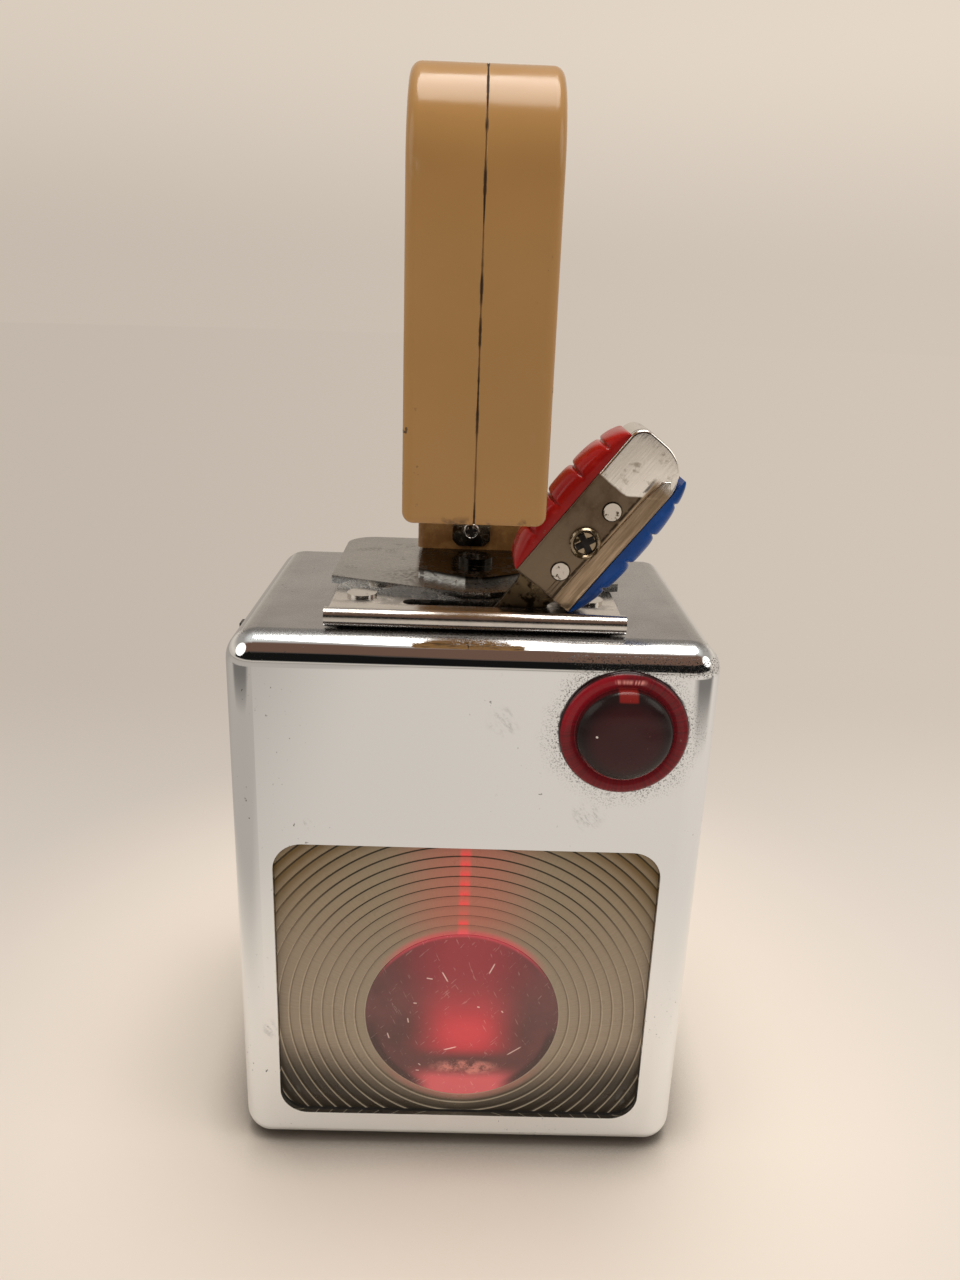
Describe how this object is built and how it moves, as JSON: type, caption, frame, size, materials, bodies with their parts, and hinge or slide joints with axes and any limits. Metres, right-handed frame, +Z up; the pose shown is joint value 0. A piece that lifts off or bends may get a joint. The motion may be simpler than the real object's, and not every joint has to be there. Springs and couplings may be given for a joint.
{
  "type": "railway signal lamp",
  "caption": "Chrome box lamp with a stepped lens window, a small red marker lens, a hooked carrying handle and a tilting two-coloured lever that sets the light.",
  "frame": {"origin": "centre of the flat underside of the box, that the lamp stands on", "axes": "+Z up, -Y the way the big lens faces, +X to the right of someone who faces the lens"},
  "size_m": [0.1188, 0.1005, 0.2535],
  "materials": {
    "chrome_plate": "bright plate, pitted and scuffed",
    "worn_brass": "worn plated steel with brown dirt",
    "bright_steel": "bright steel",
    "zinc_steel": "dull zinc plate",
    "mirror_bowl": "polished bowl",
    "beige_plastic": "moulded, satin, chipped edges",
    "red_plastic": "moulded, glossy",
    "blue_plastic": "moulded, glossy",
    "black_plastic": "moulded",
    "board": "pressed insulating board",
    "contact_brass": "plain",
    "bulb_glass": "clear",
    "lens_clear": "clear moulded, dusty",
    "marker_red": "deep red moulded",
    "filter_red": "red",
    "filter_blue": "blue",
    "rubber": "black",
    "cell_skin": "plain dark jacket, unprinted"
  },
  "bodies": {
    "housing": {"body_shell": "chrome_plate", "bulkhead": "zinc_steel", "carrier_pivot_pin": "zinc_steel", "cell_1": "cell_skin", "cell_2": "cell_skin", "cell_3": "cell_skin", "cell_shelf": "board", "contact_board": "board", "detent_spring": "zinc_steel", "door_catch": "bright_steel", "foot_rivet": "chrome_plate", "fresnel_lens": "lens_clear", "guide_pad": "rubber", "guide_plate": "chrome_plate", "guide_rivet_left": "chrome_plate", "guide_rivet_right": "chrome_plate", "handle_core": "zinc_steel", "handle_cross_screw_grip": "bright_steel", "handle_cross_screw_top": "bright_steel", "handle_foot": "chrome_plate", "handle_half_left": "beige_plastic", "handle_half_right": "beige_plastic", "handle_mount_plate": "chrome_plate", "handle_screw": "bright_steel", "handle_stud_left": "bright_steel", "handle_stud_right": "bright_steel", "handle_washer": "bright_steel", "hinge_leaf_body": "bright_steel", "hinge_pin": "bright_steel", "lens_frame": "zinc_steel", "lens_gasket": "rubber", "lever_bracket": "zinc_steel", "lever_pivot_pin": "zinc_steel", "lower_contact": "contact_brass", "main_bulb": "bulb_glass", "main_socket": "contact_brass", "marker_bulb": "bulb_glass", "marker_lens": "marker_red", "marker_ring_nut": "zinc_steel", "marker_socket": "contact_brass", "mount_spacer": "zinc_steel", "reflector": "mirror_bowl", "switch_housing": "black_plastic", "upper_contact": "contact_brass"},
    "lever": {"lever_plate": "worn_brass", "lever_channel": "worn_brass", "lever_back_cover": "worn_brass", "lever_filler": "black_plastic", "red_grip": "red_plastic", "blue_grip": "blue_plastic", "lever_screw": "bright_steel", "lever_rivet_low": "worn_brass", "lever_rivet_high": "worn_brass"},
    "filter_carrier": {"filter_carrier": "zinc_steel", "red_filter": "filter_red", "blue_filter": "filter_blue"},
    "door": {"rear_door": "chrome_plate", "door_seal": "rubber", "hinge_leaf_door": "bright_steel"},
    "switch": {"switch_knob": "black_plastic"}
  },
  "joints": [
    {"name": "lever_tilt", "type": "hinge", "parent": "housing", "child": "lever", "pos_m": [0, -0.02, 0.1283], "axis": [0, 1, 0], "range_deg": [-75, 0]},
    {"name": "carrier_swing", "type": "hinge", "parent": "housing", "child": "filter_carrier", "pos_m": [0, -0.018, 0.1004], "axis": [0, 1, 0], "range_deg": [0, 37.5]},
    {"name": "door_swing", "type": "hinge", "parent": "housing", "child": "door", "pos_m": [-0.0545, 0.0458, 0.07], "axis": [0, 0, 1], "range_deg": [0, 110]},
    {"name": "switch_turn", "type": "hinge", "parent": "housing", "child": "switch", "pos_m": [-0.056, 0.01, 0.116], "axis": [-1, 0, 0], "range_deg": [0, 90]}
  ],
  "couplings": [
    {"joint": "carrier_swing", "follows": "lever_tilt", "ratio": -0.5}
  ]
}
